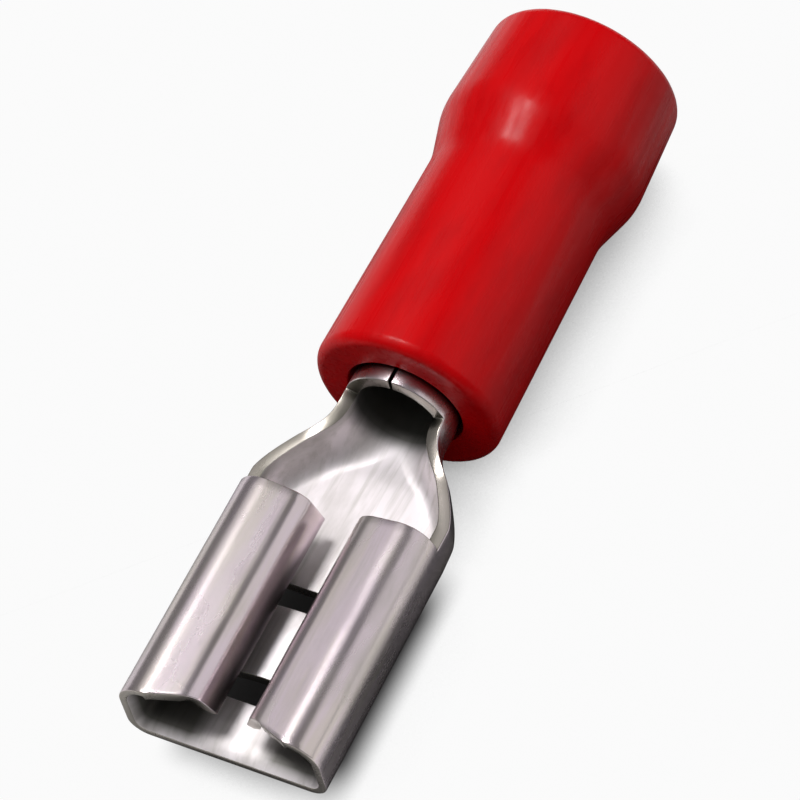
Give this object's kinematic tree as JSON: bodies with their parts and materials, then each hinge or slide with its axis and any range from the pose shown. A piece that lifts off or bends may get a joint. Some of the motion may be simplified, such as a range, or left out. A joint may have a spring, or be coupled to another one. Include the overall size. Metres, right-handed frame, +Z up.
{
  "type": "female spade terminal",
  "caption": "Insulated push-on crimp terminal: a folded metal receptacle with rolled sides, a trough neck and a round wire barrel inside a flared plastic sleeve.",
  "frame": {"origin": "on the surface that the terminal lies on, under the middle of its length", "axes": "+Y along the wire barrel towards the wire, so the tab goes in at the -Y end; +Z up, on the side of the rolls' gap; X across the receptacle"},
  "size_m": [0.0058, 0.0216, 0.0057],
  "materials": {
    "tinned_brass": "bright tin plate over brass",
    "red_pvc": "moulded, semi-gloss"
  },
  "bodies": {
    "root": {"folded_contact": "tinned_brass", "insulating_sleeve": "red_pvc"}
  },
  "joints": []
}
